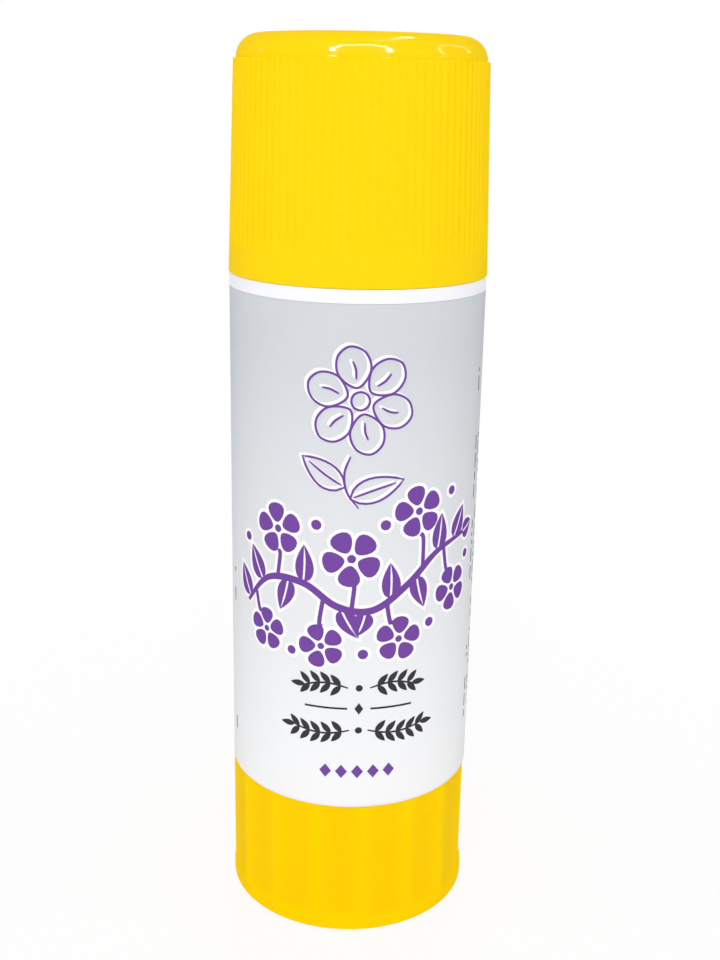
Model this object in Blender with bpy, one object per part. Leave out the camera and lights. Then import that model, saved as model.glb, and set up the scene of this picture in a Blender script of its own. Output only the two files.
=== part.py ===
"""A jumbo twist-up glue stick: cap, barrel, label, glue, carrier, spindle and turning knob.

Run it with blender --background --python part.py, or from Blender's text editor. Lengths are in metres and
+Z is up. The origin is the centre of the foot that the stick stands on, and the turning axis is the Z axis.
"""

import math

import bmesh
import bpy

# Fits
SEAT_GAP = 0.0003  # between faces that rest on each other
RUN_PLAY = 0.0003  # radial play of what turns or slides in a bore

# Radii are built up from the glue's bore outwards
BORE_RADIUS = 0.0190
NECK_WALL = 0.0015
CAP_PLAY = 0.00035
CAP_WALL = 0.00125
CAP_OVERHANG = 0.0001  # the cap's skirt stands this far proud of the body
KNOB_OVERHANG = 0.0001

# Heights are built up from the foot
KNOB_HEIGHT = 0.0249
BODY_LENGTH = 0.0910
NECK_LENGTH = 0.0203
CAP_HEIGHT = 0.0384

# Barrel
EDGE_BREAK = 0.00025
LOWER_BAND = 0.0006  # bare plastic under the label
UPPER_BAND = 0.0018  # bare plastic over the label
MOUTH_ROUND = 0.0005
NECK_BEAD_RISE = 0.0048
FLOOR_RISE = 0.0028
FLOOR_THICKNESS = 0.0020
COLLAR_LENGTH = 0.0030
COLLAR_WALL = 0.0022
SPIGOT_WALL = 0.0016
SPIGOT_LIP = 0.0025  # below the groove that the knob snaps into
BARREL_STEPS = 54

# Keys that keep the carrier from turning in the bore
KEY_COUNT = 4
KEY_WIDTH = 0.0016
KEY_HEIGHT = 0.0008
KEY_PLAY = 0.00035
KEY_STOP = 0.0020  # they end this far below the mouth

# Label
LABEL_THICKNESS = 0.00015
LABEL_SINK = 0.00005  # below the bands that protect its edges
LABEL_SEAM = 0.0008

# Cap
CAP_DRAFT = math.radians(1.8)
CAP_TOP_WALL = 0.0016
SKIRT_BAND = 0.0040
RIB_COUNT = 94
RIB_DEPTH = 0.0003
RIB_FADE = 0.0006
DOME_ROUND = 0.0038
DOME_STEPS = 4
CROWN_RISE = 0.0004
INNER_ROUND = 0.0025
SEAL_BEAD = 0.00015
CAP_BEAD_RISE = 0.0022
BEAD_HEIGHT = 0.0012

# Knob
FLUTE_COUNT = 16
FLUTE_STEPS = 6
FLUTE_DEPTH = 0.0008
FLUTE_START = 0.0020
FLUTE_FADE = 0.0020
FLUTE_TURN = math.radians(-82.4)  # where the first ridge stands
KNOB_WALL = 0.0009  # at the bottom of a flute
KNOB_PLAY = 0.0004
KNOB_FLOOR = 0.0018
FOOT_ROUND = 0.0003
FOOT_WIDTH = 0.0050
FOOT_RECESS = 0.0008
SNAP_DROP = 0.0105  # from the body's lower face to the middle of the snap bead
SNAP_DEPTH = 0.00055
SNAP_CLEARANCE = 0.00035
SNAP_HEIGHT = 0.0016
BOSS_WALL = 0.0024
WEB_COUNT = 6
WEB_WIDTH = 0.0012
WEB_CLEARANCE = 0.0020  # under the barrel's spigot

# Spindle
THREAD_CORE = 0.0033
THREAD_DEPTH = 0.0012
THREAD_LEAD = 0.0060
THREAD_CREST = 0.0012
THREAD_ROOT = 0.0026
THREAD_PLAY = 0.00035
THREAD_FADE = 0.0020
THREAD_STEPS = 18
JOURNAL_STEP = 0.0005  # how far the journal stands over the thread's crest
HEX_STEP = 0.0007  # how far the hexagon's corners stay inside the journal
HEX_SIDES = 6
CLIP_GRIP = 0.0005
CLIP_LAND = 0.0008
CLIP_LEAD = 0.0022
TIP_ROUND = 0.0010

# Carrier
DISC_THICKNESS = 0.0016
CUP_DEPTH = 0.0085
CUP_WALL = 0.0007  # where a key's notch is cut into it
HUB_HEIGHT = 0.0125
HUB_WALL = 0.00265
FIN_COUNT = 4
FIN_WIDTH = 0.0010
FIN_HEIGHT = 0.0050
CARRIER_STEPS = 40

# Glue
GLUE_DROP = 0.0020  # below the barrel's mouth when wound down
GLUE_EDGE = 0.0012
GLUE_CROWN = 0.0004
GLUE_COVER = 0.0105  # glue above the spindle's tip
TIP_CLEARANCE = 0.0020

# Worked out from the sizes above
NECK_RADIUS = BORE_RADIUS + NECK_WALL
CAP_RADIUS = NECK_RADIUS + CAP_PLAY + CAP_WALL
BODY_RADIUS = CAP_RADIUS - CAP_OVERHANG
KNOB_RADIUS = BODY_RADIUS + KNOB_OVERHANG
KNOB_BORE = KNOB_RADIUS - FLUTE_DEPTH - KNOB_WALL
SPIGOT_RADIUS = KNOB_BORE - KNOB_PLAY
THREAD_RADIUS = THREAD_CORE + THREAD_DEPTH
JOURNAL_RADIUS = THREAD_RADIUS + JOURNAL_STEP
HEX_RADIUS = JOURNAL_RADIUS - HEX_STEP
BEARING_RADIUS = JOURNAL_RADIUS + RUN_PLAY
CLIP_RADIUS = BEARING_RADIUS + CLIP_GRIP
COLLAR_RADIUS = BEARING_RADIUS + COLLAR_WALL
BOSS_RADIUS = HEX_RADIUS + SEAT_GAP + BOSS_WALL
HUB_RADIUS = THREAD_RADIUS + THREAD_PLAY + HUB_WALL
CUP_RADIUS = BORE_RADIUS - KEY_HEIGHT - KEY_PLAY - CUP_WALL
SLIDE_RADIUS = BORE_RADIUS - RUN_PLAY
LABEL_RADIUS = BODY_RADIUS - LABEL_SINK
RECESS_RADIUS = LABEL_RADIUS - LABEL_THICKNESS - SEAT_GAP

BODY_Z = KNOB_HEIGHT + SEAT_GAP
SHOULDER_Z = BODY_Z + BODY_LENGTH
MOUTH_Z = SHOULDER_Z + NECK_LENGTH
CAP_Z = SHOULDER_Z + SEAT_GAP
CAP_TOP_Z = CAP_Z + CAP_HEIGHT
RECESS_Z = BODY_Z + LOWER_BAND
RECESS_TOP_Z = SHOULDER_Z - UPPER_BAND
FLOOR_Z = BODY_Z + FLOOR_RISE
FLOOR_TOP_Z = FLOOR_Z + FLOOR_THICKNESS
COLLAR_Z = FLOOR_Z - COLLAR_LENGTH
BOSS_TOP_Z = COLLAR_Z - SEAT_GAP
SNAP_Z = BODY_Z - SNAP_DROP
GROOVE_HALF = SNAP_HEIGHT / 2 + SNAP_CLEARANCE
SPIGOT_Z = SNAP_Z - GROOVE_HALF - SPIGOT_LIP
KNOB_FLOOR_TOP_Z = FOOT_RECESS + KNOB_FLOOR
CLIP_Z = FLOOR_TOP_Z + SEAT_GAP
THREAD_Z = CLIP_Z + CLIP_LAND + CLIP_LEAD
DISC_Z = THREAD_Z + 2 * SEAT_GAP
DISC_TOP_Z = DISC_Z + DISC_THICKNESS
CUP_TOP_Z = DISC_TOP_Z + CUP_DEPTH
HUB_TOP_Z = DISC_TOP_Z + HUB_HEIGHT
GLUE_Z = DISC_TOP_Z + SEAT_GAP
GLUE_TOP_Z = MOUTH_Z - GLUE_DROP
SPINDLE_TOP_Z = GLUE_TOP_Z - GLUE_COVER
DRAFT = math.tan(CAP_DRAFT)


def clear_scene():
    for obj in list(bpy.data.objects):
        bpy.data.objects.remove(obj, do_unlink=True)


def linear(value):
    """One sRGB channel, 0 to 255, as Blender's linear value."""
    share = value / 255
    return share / 12.92 if share <= 0.04045 else ((share + 0.055) / 1.055) ** 2.4


def plastic(name, colour, roughness):
    material = bpy.data.materials.new(name)
    material.use_nodes = True
    shader = material.node_tree.nodes["Principled BSDF"]
    shader.inputs["Base Color"].default_value = (*[linear(c) for c in colour], 1.0)
    shader.inputs["Roughness"].default_value = roughness
    shader.inputs["Metallic"].default_value = 0.0
    return material


def add_object(name, bm, material=None):
    """The bmesh as a named object, shaded smooth except over its real edges."""
    mesh = bpy.data.meshes.new(name)
    bm.to_mesh(mesh)
    bm.free()
    mesh.shade_smooth()
    mesh.set_sharp_from_angle(angle=math.radians(28))
    obj = bpy.data.objects.new(name, mesh)
    bpy.context.scene.collection.objects.link(obj)
    if material:
        mesh.materials.append(material)
    return obj


def hide_cutter(obj):
    obj.hide_render = True
    obj.display_type = "WIRE"


def cut(obj, cutter, operation="DIFFERENCE"):
    hide_cutter(cutter)
    boolean = obj.modifiers.new(cutter.name, "BOOLEAN")
    boolean.operation = operation
    boolean.solver = "EXACT"
    boolean.object = cutter


def arc(centre_r, centre_z, radius, start, end, steps):
    """Points of a profile's round corner, from one angle to another in degrees."""
    angles = [math.radians(start + (end - start) * i / steps) for i in range(steps + 1)]
    return [(centre_r + radius * math.cos(a), centre_z + radius * math.sin(a)) for a in angles]


def ring(bm, count, radius_at, z, turn=0.0):
    """A level loop of points, whose radius may follow the angle."""
    angles = [turn + math.tau * i / count for i in range(count)]
    return [bm.verts.new((radius_at(a) * math.cos(a), radius_at(a) * math.sin(a), z)) for a in angles]


def round_ring(bm, count, radius, z, turn=0.0):
    return ring(bm, count, lambda _: radius, z, turn)


def skin(bm, lower, upper):
    """Faces between two loops, of which one may have a whole multiple of the other's points."""
    fine, coarse = (lower, upper) if len(lower) >= len(upper) else (upper, lower)
    share = len(fine) // len(coarse)
    for i in range(len(coarse)):
        here, after = coarse[i], coarse[(i + 1) % len(coarse)]
        run = [fine[(i * share + k) % len(fine)] for k in range(share + 1)]
        if share == 1:
            bm.faces.new((run[0], run[1], after, here))
            continue
        for k in range(share):
            bm.faces.new((run[k], run[k + 1], here if k < share // 2 else after))
        bm.faces.new((here, run[share // 2], after))


def close(bm, loop, tip=None):
    """A flat face over a loop, or a fan up to a point on the axis."""
    if tip is None:
        bm.faces.new(loop)
        return
    centre = bm.verts.new((0, 0, tip))
    for i, vert in enumerate(loop):
        bm.faces.new((vert, loop[(i + 1) % len(loop)], centre))


def face_out(bm):
    bmesh.ops.recalc_face_normals(bm, faces=bm.faces)


def turned(profile, steps, turn=0.0):
    """A solid of revolution. The profile is a loop of (radius, height), or it starts and ends on the axis."""
    bm = bmesh.new()
    points = [bm.verts.new((r * math.cos(turn), r * math.sin(turn), z)) for r, z in profile]
    edges = [bm.edges.new(pair) for pair in zip(points, points[1:])]
    if profile[0][0] > 0:
        edges.append(bm.edges.new((points[-1], points[0])))
    bmesh.ops.spin(
        bm, geom=points + edges, axis=(0, 0, 1), cent=(0, 0, 0), angle=math.tau, steps=steps, use_merge=True
    )
    bmesh.ops.remove_doubles(bm, verts=bm.verts, dist=1e-7)
    face_out(bm)
    return bm


def bars(name, count, inner, outer, width, low, high, turn=0.0):
    """Upright bars set radially round the axis, as one cutter object."""
    bm = bmesh.new()
    for i in range(count):
        angle = turn + math.tau * i / count
        across = (-math.sin(angle) * width / 2, math.cos(angle) * width / 2)
        corners = [
            (r * math.cos(angle) + side * across[0], r * math.sin(angle) + side * across[1])
            for r, side in ((inner, -1), (outer, -1), (outer, 1), (inner, 1))
        ]
        lower, upper = ([bm.verts.new((x, y, z)) for x, y in corners] for z in (low, high))
        skin(bm, lower, upper)
        close(bm, lower)
        close(bm, upper)
    face_out(bm)
    return add_object(name, bm)


def thread_wall(bm, core, crest, crest_width, root_width, low, high, fade):
    """A left-handed threaded wall from one height to another, and its lowest and highest loops.

    Each turn has four lines that climb the core: the ridge's two feet and its two crest edges. The ridge fades
    out over the given height at both ends, where the lines run into a plain loop.
    """
    offsets = (-root_width / 2, -crest_width / 2, crest_width / 2, root_width / 2)
    heights = (0.0, 1.0, 1.0, 0.0)
    turns = range(-2, math.ceil((high - low) / THREAD_LEAD) + 3)
    columns = []
    for i in range(THREAD_STEPS):
        angle = math.tau * i / THREAD_STEPS
        column = []
        for turn in turns:
            for offset, height in zip(offsets, heights):
                z = low + THREAD_LEAD * (turn - i / THREAD_STEPS) + offset
                strength = min(1.0, max(0.0, (z - low) / fade), max(0.0, (high - z) / fade))
                radius = core + (crest - core) * height * strength
                column.append(
                    bm.verts.new((radius * math.cos(angle), radius * math.sin(angle), min(high, max(low, z))))
                )
        columns.append(column)
    for i, column in enumerate(columns):
        last = i == THREAD_STEPS - 1
        after = columns[0] if last else columns[i + 1]
        # A full turn comes round one lead lower, so the last column meets the first one a turn down
        shift = -len(offsets) if last else 0
        for k in range(len(offsets), len(column) - 1):
            bm.faces.new((column[k], after[k + shift], after[k + 1 + shift], column[k + 1]))
    # Lines past either end lie on each other there
    bmesh.ops.remove_doubles(bm, verts=bm.verts, dist=1e-7)
    loose = [v for v in bm.verts if not v.link_faces]
    bmesh.ops.delete(bm, geom=loose, context="VERTS")


def end_loop(bm, height):
    """The thread wall's plain loop at one end, in order round the axis."""
    loop = [v for v in bm.verts if abs(v.co.z - height) < 1e-7]
    return sorted(loop, key=lambda v: math.atan2(v.co.y, v.co.x) % math.tau)


def threaded_rod(core, crest, crest_width, root_width, low, high, fade):
    """The thread with its loops, ready for whatever stands at its ends."""
    bm = bmesh.new()
    thread_wall(bm, core, crest, crest_width, root_width, low, high, fade)
    return bm, end_loop(bm, low), end_loop(bm, high)


def make_barrel(material):
    neck_top = NECK_RADIUS - DRAFT * NECK_LENGTH
    bead = SHOULDER_Z + NECK_BEAD_RISE
    bead_radius = NECK_RADIUS - DRAFT * NECK_BEAD_RISE

    def neck(z):
        return NECK_RADIUS - DRAFT * (z - SHOULDER_Z)

    profile = [
        (SPIGOT_RADIUS - SPIGOT_WALL, SPIGOT_Z),
        (SPIGOT_RADIUS - 2 * EDGE_BREAK, SPIGOT_Z),
        (SPIGOT_RADIUS, SPIGOT_Z + 3 * EDGE_BREAK),
        (SPIGOT_RADIUS, SNAP_Z - GROOVE_HALF),
        (KNOB_BORE - SNAP_DEPTH - SNAP_CLEARANCE, SNAP_Z - GROOVE_HALF),
        (KNOB_BORE - SNAP_DEPTH - SNAP_CLEARANCE, SNAP_Z + GROOVE_HALF),
        (SPIGOT_RADIUS, SNAP_Z + GROOVE_HALF),
        (SPIGOT_RADIUS, BODY_Z),
        (BODY_RADIUS - EDGE_BREAK, BODY_Z),
        (BODY_RADIUS, BODY_Z + EDGE_BREAK),
        (BODY_RADIUS, RECESS_Z),
        (RECESS_RADIUS, RECESS_Z),
        (RECESS_RADIUS, RECESS_TOP_Z),
        (BODY_RADIUS, RECESS_TOP_Z),
        (BODY_RADIUS, SHOULDER_Z - EDGE_BREAK),
        (BODY_RADIUS - EDGE_BREAK, SHOULDER_Z),
        (NECK_RADIUS, SHOULDER_Z),
        (neck(bead - BEAD_HEIGHT / 2), bead - BEAD_HEIGHT / 2),
        (bead_radius + SEAL_BEAD, bead),
        (neck(bead + BEAD_HEIGHT / 2), bead + BEAD_HEIGHT / 2),
        (neck_top, MOUTH_Z - MOUTH_ROUND),
        (neck_top - MOUTH_ROUND / 2, MOUTH_Z),
        (BORE_RADIUS, MOUTH_Z),
        (BORE_RADIUS, FLOOR_TOP_Z),
        (BEARING_RADIUS, FLOOR_TOP_Z),
        (BEARING_RADIUS, COLLAR_Z),
        (COLLAR_RADIUS, COLLAR_Z),
        (COLLAR_RADIUS, FLOOR_Z),
        (SPIGOT_RADIUS - SPIGOT_WALL, FLOOR_Z),
    ]
    barrel = add_object("barrel", turned(profile, BARREL_STEPS), material)
    keys = bars(
        "barrel_keys",
        KEY_COUNT,
        BORE_RADIUS - KEY_HEIGHT,
        BORE_RADIUS + NECK_WALL / 3,
        KEY_WIDTH,
        FLOOR_TOP_Z - FLOOR_THICKNESS / 2,
        MOUTH_Z - KEY_STOP,
    )
    cut(barrel, keys, "UNION")
    return barrel


def make_label(material):
    """A film wrapped round the barrel, whose ends stop short of each other at the back."""
    half_seam = LABEL_SEAM / 2 / LABEL_RADIUS
    bm = bmesh.new()
    inside, outside = LABEL_RADIUS - LABEL_THICKNESS, LABEL_RADIUS
    low, high = RECESS_Z + SEAT_GAP, RECESS_TOP_Z - SEAT_GAP
    start = math.pi / 2 + half_seam
    section = ((inside, low), (outside, low), (outside, high), (inside, high))
    face = bm.faces.new([bm.verts.new((r * math.cos(start), r * math.sin(start), z)) for r, z in section])
    bmesh.ops.spin(
        bm, geom=[face], axis=(0, 0, 1), cent=(0, 0, 0), angle=math.tau - 2 * half_seam, steps=BARREL_STEPS
    )
    face_out(bm)
    return add_object("label", bm, material)


def make_cap(material):
    bm = bmesh.new()
    rib_low = CAP_Z + SKIRT_BAND
    rib_high = CAP_TOP_Z - CROWN_RISE - DOME_ROUND

    def outside(z):
        return CAP_RADIUS - DRAFT * (z - CAP_Z)

    def inside(z):
        return NECK_RADIUS + CAP_PLAY - DRAFT * (z - SHOULDER_Z)

    def ribbed(z):
        """The radius round the ribbed band: four points to a rib, two on its crest and two in the groove."""
        loop = {k: outside(z) - (RIB_DEPTH if k % 4 in (1, 2) else 0.0) for k in range(4 * RIB_COUNT)}
        return lambda angle: loop[round(angle / math.tau * 4 * RIB_COUNT) % (4 * RIB_COUNT)]

    dome_radius = outside(rib_high) - RIB_DEPTH
    crown_edge = dome_radius - DOME_ROUND
    loops = [
        round_ring(bm, RIB_COUNT, outside(CAP_Z) - EDGE_BREAK, CAP_Z),
        round_ring(bm, RIB_COUNT, outside(CAP_Z), CAP_Z + EDGE_BREAK),
        round_ring(bm, RIB_COUNT, outside(rib_low), rib_low),
        ring(bm, 4 * RIB_COUNT, ribbed(rib_low + RIB_FADE), rib_low + RIB_FADE),
        ring(bm, 4 * RIB_COUNT, ribbed(rib_high), rib_high),
    ]
    dome = arc(crown_edge, rib_high, DOME_ROUND, 0, 90, DOME_STEPS)
    loops += [round_ring(bm, RIB_COUNT, r, z) for r, z in dome]
    loops.append(round_ring(bm, RIB_COUNT, crown_edge / 2, CAP_TOP_Z - CROWN_RISE / 4))
    for lower, upper in zip(loops, loops[1:]):
        skin(bm, lower, upper)
    close(bm, loops[-1], CAP_TOP_Z)

    ceiling = CAP_TOP_Z - CAP_TOP_WALL
    inner_edge = ceiling - INNER_ROUND
    bead = CAP_Z + CAP_BEAD_RISE
    hollow = [
        (inside(CAP_Z) + 2 * EDGE_BREAK, CAP_Z),
        (inside(CAP_Z + 3 * EDGE_BREAK), CAP_Z + 3 * EDGE_BREAK),
        (inside(bead - BEAD_HEIGHT / 2), bead - BEAD_HEIGHT / 2),
        (inside(bead) - SEAL_BEAD, bead),
        (inside(bead + BEAD_HEIGHT / 2), bead + BEAD_HEIGHT / 2),
    ]
    hollow += arc(inside(inner_edge) - INNER_ROUND, inner_edge, INNER_ROUND, 0, 90, 3)
    inner_loops = [round_ring(bm, RIB_COUNT // 2, r, z) for r, z in hollow]
    skin(bm, loops[0], inner_loops[0])
    for lower, upper in zip(inner_loops, inner_loops[1:]):
        skin(bm, lower, upper)
    close(bm, inner_loops[-1], ceiling)
    face_out(bm)
    return add_object("cap", bm, material)


def fluted(depth):
    """The knob's radius round the axis: hollow arcs that meet in ridges."""
    pitch = math.tau / FLUTE_COUNT
    half_chord = KNOB_RADIUS * math.sin(pitch / 2)
    chord_distance = KNOB_RADIUS * math.cos(pitch / 2)
    sag = chord_distance - (KNOB_RADIUS - FLUTE_DEPTH)
    arc_radius = (half_chord**2 + sag**2) / (2 * sag)
    centre = KNOB_RADIUS - FLUTE_DEPTH + arc_radius

    def radius(angle):
        off = (angle - FLUTE_TURN + pitch / 2) % pitch - pitch / 2
        off = pitch / 2 - abs(off)
        hollow = centre * math.cos(off) - math.sqrt(arc_radius**2 - (centre * math.sin(off)) ** 2)
        return KNOB_RADIUS + (hollow - KNOB_RADIUS) * depth

    return radius


def make_knob(material):
    bm = bmesh.new()
    points = FLUTE_COUNT * FLUTE_STEPS
    outer = [
        round_ring(bm, points, KNOB_RADIUS - FOOT_ROUND, 0, FLUTE_TURN),
        round_ring(bm, points, KNOB_RADIUS - FOOT_ROUND * (1 - math.sin(math.pi / 4)),
                   FOOT_ROUND * (1 - math.cos(math.pi / 4)), FLUTE_TURN),
        round_ring(bm, points, KNOB_RADIUS, FOOT_ROUND, FLUTE_TURN),
        round_ring(bm, points, KNOB_RADIUS, FLUTE_START, FLUTE_TURN),
        ring(bm, points, fluted(0.6), FLUTE_START + 0.3 * FLUTE_FADE, FLUTE_TURN),
        ring(bm, points, fluted(1.0), FLUTE_START + FLUTE_FADE, FLUTE_TURN),
        ring(bm, points, fluted(1.0), KNOB_HEIGHT, FLUTE_TURN),
    ]
    for lower, upper in zip(outer, outer[1:]):
        skin(bm, lower, upper)
    snap_radius = KNOB_BORE - SNAP_DEPTH
    hollow = [
        (KNOB_BORE + EDGE_BREAK, KNOB_HEIGHT),
        (KNOB_BORE, KNOB_HEIGHT - 2 * EDGE_BREAK),
        (KNOB_BORE, SNAP_Z + SNAP_HEIGHT / 2),
        (snap_radius, SNAP_Z + SNAP_HEIGHT / 4),
        (snap_radius, SNAP_Z - SNAP_HEIGHT / 4),
        (KNOB_BORE, SNAP_Z - SNAP_HEIGHT / 2),
        (KNOB_BORE, KNOB_FLOOR_TOP_Z),
        (BOSS_RADIUS, KNOB_FLOOR_TOP_Z),
        (BOSS_RADIUS, BOSS_TOP_Z),
    ]
    inner = [round_ring(bm, points // 2, r, z, FLUTE_TURN) for r, z in hollow]
    skin(bm, outer[-1], inner[0])
    for lower, upper in zip(inner, inner[1:]):
        skin(bm, lower, upper)
    close(bm, inner[-1])
    recess = [
        (KNOB_RADIUS - FOOT_ROUND - FOOT_WIDTH, 0),
        (KNOB_RADIUS - FOOT_ROUND - FOOT_WIDTH - FOOT_RECESS, FOOT_RECESS),
    ]
    under = [round_ring(bm, points // 2, r, z, FLUTE_TURN) for r, z in recess]
    skin(bm, outer[0], under[0])
    skin(bm, under[0], under[1])
    close(bm, under[1])
    face_out(bm)
    knob = add_object("knob", bm, material)
    webs = bars(
        "knob_webs",
        WEB_COUNT,
        BOSS_RADIUS - BOSS_WALL / 2,
        KNOB_BORE + KNOB_WALL / 2,
        WEB_WIDTH,
        KNOB_FLOOR_TOP_Z - KNOB_FLOOR / 2,
        SPIGOT_Z - WEB_CLEARANCE,
        math.pi / WEB_COUNT,
    )
    cut(knob, webs, "UNION")
    socket = bmesh.new()
    lower = round_ring(socket, HEX_SIDES, HEX_RADIUS + SEAT_GAP, KNOB_FLOOR_TOP_Z)
    upper = round_ring(socket, HEX_SIDES, HEX_RADIUS + SEAT_GAP, BOSS_TOP_Z + BOSS_WALL)
    skin(socket, lower, upper)
    close(socket, lower)
    close(socket, upper)
    face_out(socket)
    cut(knob, add_object("knob_socket", socket))
    return knob


def make_spindle(material):
    bm, low_loop, high_loop = threaded_rod(
        THREAD_CORE, THREAD_RADIUS, THREAD_CREST, THREAD_ROOT, THREAD_Z, SPINDLE_TOP_Z, THREAD_FADE
    )
    hex_low = KNOB_FLOOR_TOP_Z + SEAT_GAP
    foot = [round_ring(bm, HEX_SIDES, HEX_RADIUS, z) for z in (hex_low, COLLAR_Z)]
    shaft = [
        (JOURNAL_RADIUS, COLLAR_Z),
        (JOURNAL_RADIUS, CLIP_Z),
        (CLIP_RADIUS, CLIP_Z),
        (CLIP_RADIUS, CLIP_Z + CLIP_LAND),
    ]
    loops = foot + [round_ring(bm, THREAD_STEPS, r, z) for r, z in shaft] + [low_loop]
    for lower, upper in zip(loops, loops[1:]):
        skin(bm, lower, upper)
    close(bm, foot[0])
    tip = round_ring(bm, THREAD_STEPS, THREAD_CORE - TIP_ROUND, SPINDLE_TOP_Z + TIP_ROUND)
    skin(bm, high_loop, tip)
    close(bm, tip)
    face_out(bm)
    return add_object("spindle", bm, material)


def key_notches(name, low, high):
    """What clears the barrel's keys, as a cutter for the pieces that slide in the bore."""
    return bars(
        name,
        KEY_COUNT,
        BORE_RADIUS - KEY_HEIGHT - KEY_PLAY,
        BORE_RADIUS + KEY_HEIGHT,
        KEY_WIDTH + 2 * KEY_PLAY,
        low,
        high,
    )


def make_carrier(material):
    skirt_low = FLOOR_TOP_Z + SEAT_GAP
    profile = [
        (0, HUB_TOP_Z),
        (HUB_RADIUS, HUB_TOP_Z),
        (HUB_RADIUS, DISC_TOP_Z),
        (CUP_RADIUS, DISC_TOP_Z),
        (CUP_RADIUS, CUP_TOP_Z),
        (SLIDE_RADIUS, CUP_TOP_Z),
        (SLIDE_RADIUS, skirt_low),
        (CUP_RADIUS, skirt_low),
        (CUP_RADIUS, DISC_Z),
        (0, DISC_Z),
    ]
    carrier = add_object("carrier", turned(profile, CARRIER_STEPS), material)
    fins = bars(
        "carrier_fins",
        FIN_COUNT,
        HUB_RADIUS - HUB_WALL / 2,
        CUP_RADIUS + CUP_WALL / 2,
        FIN_WIDTH,
        DISC_TOP_Z - DISC_THICKNESS / 2,
        DISC_TOP_Z + FIN_HEIGHT,
        math.pi / FIN_COUNT,
    )
    cut(carrier, fins, "UNION")
    cut(carrier, key_notches("carrier_notches", skirt_low - KEY_HEIGHT, CUP_TOP_Z + KEY_HEIGHT))
    bm, low_loop, high_loop = threaded_rod(
        THREAD_CORE + THREAD_PLAY,
        THREAD_RADIUS + THREAD_PLAY,
        THREAD_CREST + 2 * THREAD_PLAY,
        THREAD_ROOT + 2 * THREAD_PLAY,
        THREAD_Z - THREAD_LEAD,
        HUB_TOP_Z + THREAD_LEAD,
        THREAD_FADE / 2,
    )
    close(bm, low_loop)
    close(bm, high_loop)
    face_out(bm)
    cut(carrier, add_object("carrier_tap", bm))
    return carrier


def make_glue(material):
    bore = THREAD_RADIUS + THREAD_PLAY
    hub_pocket = HUB_TOP_Z + SEAT_GAP
    neck_line = CUP_TOP_Z + SEAT_GAP
    crown = GLUE_TOP_Z - GLUE_CROWN
    profile = [
        (0, SPINDLE_TOP_Z + TIP_ROUND + TIP_CLEARANCE),
        (bore, SPINDLE_TOP_Z + TIP_ROUND + TIP_CLEARANCE),
        (bore, hub_pocket),
        (HUB_RADIUS + SEAT_GAP, hub_pocket),
        (HUB_RADIUS + SEAT_GAP, GLUE_Z),
        (CUP_RADIUS - SEAT_GAP, GLUE_Z),
        (CUP_RADIUS - SEAT_GAP, neck_line),
        (SLIDE_RADIUS, neck_line),
    ]
    profile += arc(SLIDE_RADIUS - GLUE_EDGE, crown - GLUE_EDGE, GLUE_EDGE, 0, 90, 3)
    profile.append((SLIDE_RADIUS / 2, GLUE_TOP_Z - GLUE_CROWN / 4))
    profile.append((0, GLUE_TOP_Z))
    glue = add_object("glue", turned(profile, CARRIER_STEPS), material)
    cut(glue, key_notches("glue_grooves", GLUE_Z, GLUE_TOP_Z + KEY_HEIGHT))
    fin_slots = bars(
        "glue_slots",
        FIN_COUNT,
        HUB_RADIUS - HUB_WALL / 2,
        CUP_RADIUS + CUP_WALL / 2,
        FIN_WIDTH + 2 * SEAT_GAP,
        GLUE_Z - DISC_THICKNESS,
        DISC_TOP_Z + FIN_HEIGHT + SEAT_GAP,
        math.pi / FIN_COUNT,
    )
    cut(glue, fin_slots)
    return glue


def main():
    clear_scene()
    make_barrel(plastic("barrel_white", (246, 246, 248), 0.35))
    make_label(plastic("label_grey", (212, 214, 218), 0.30))
    make_cap(plastic("cap_yellow", (255, 218, 4), 0.28))
    make_knob(plastic("knob_yellow", (255, 209, 5), 0.32))
    make_spindle(plastic("spindle_white", (236, 236, 234), 0.45))
    make_carrier(plastic("carrier_white", (240, 240, 238), 0.45))
    make_glue(plastic("glue_white", (244, 243, 238), 0.60))


main()
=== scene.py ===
# A large twist-up glue stick: its finish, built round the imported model. Metres, +Z up, the print faces -Y.
import math
import random

import bmesh
import bpy
from mathutils import Matrix, Vector


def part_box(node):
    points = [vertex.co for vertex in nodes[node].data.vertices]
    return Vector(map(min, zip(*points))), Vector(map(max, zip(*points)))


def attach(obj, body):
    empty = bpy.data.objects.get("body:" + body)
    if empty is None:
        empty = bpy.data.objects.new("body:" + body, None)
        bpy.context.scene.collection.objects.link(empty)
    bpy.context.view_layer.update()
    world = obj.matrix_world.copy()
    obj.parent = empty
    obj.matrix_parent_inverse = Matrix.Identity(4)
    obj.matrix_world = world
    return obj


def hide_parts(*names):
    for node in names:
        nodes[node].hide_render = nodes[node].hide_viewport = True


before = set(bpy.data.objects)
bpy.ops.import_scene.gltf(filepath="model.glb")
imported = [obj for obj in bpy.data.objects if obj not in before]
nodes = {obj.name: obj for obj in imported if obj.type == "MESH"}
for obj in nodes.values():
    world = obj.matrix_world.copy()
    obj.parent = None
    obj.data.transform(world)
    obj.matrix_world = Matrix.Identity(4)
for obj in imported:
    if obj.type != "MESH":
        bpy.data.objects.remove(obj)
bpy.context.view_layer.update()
mm = 0.001


def fromSrgb(red, green, blue):
    # A colour as a picture shows it, 0 to 255, in the linear values that shaders take
    shares = [channel / 255 for channel in (red, green, blue)]
    return [s / 12.92 if s <= 0.04045 else ((s + 0.055) / 1.055) ** 2.4 for s in shares] + [1.0]


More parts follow.
